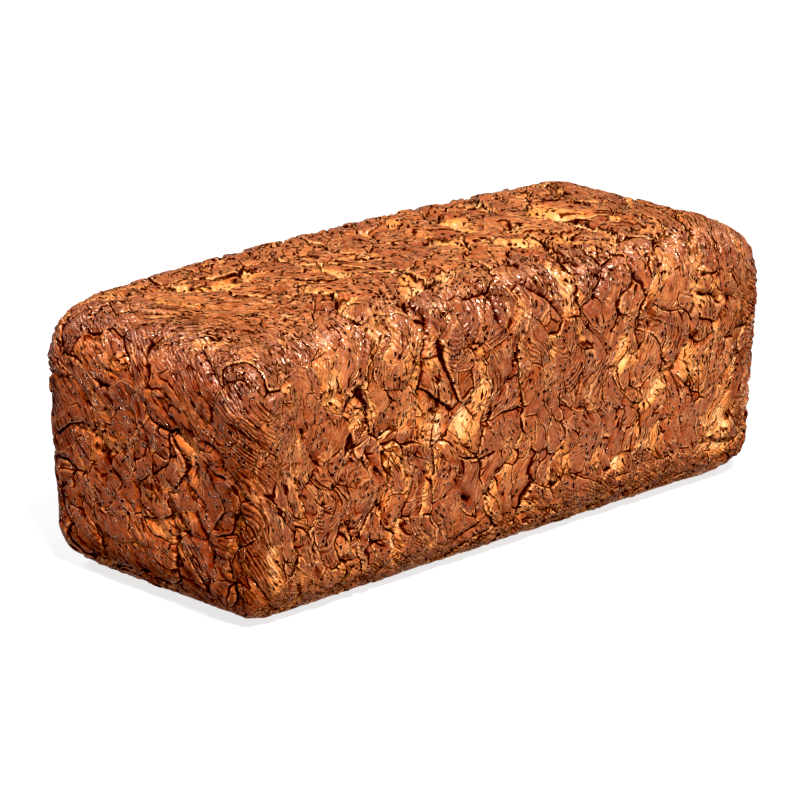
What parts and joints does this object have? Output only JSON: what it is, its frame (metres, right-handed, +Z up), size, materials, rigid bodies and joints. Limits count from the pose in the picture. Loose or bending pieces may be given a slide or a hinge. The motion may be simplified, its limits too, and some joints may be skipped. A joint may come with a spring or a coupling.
{
  "type": "tin loaf",
  "caption": "Whole uncut loaf of laminated dough baked in a lidded tin: straight sides, flat top, rounded edges and a brown crust of pressed, creased dough plates.",
  "frame": {"origin": "middle of the flat underside", "axes": "+X along the loaf, +Y across it, +Z up out of the top"},
  "size_m": [0.2796, 0.1188, 0.11],
  "materials": {
    "crust": "baked crust, satin, mid brown with golden creases"
  },
  "bodies": {
    "root": {"loaf": "crust"}
  },
  "joints": []
}
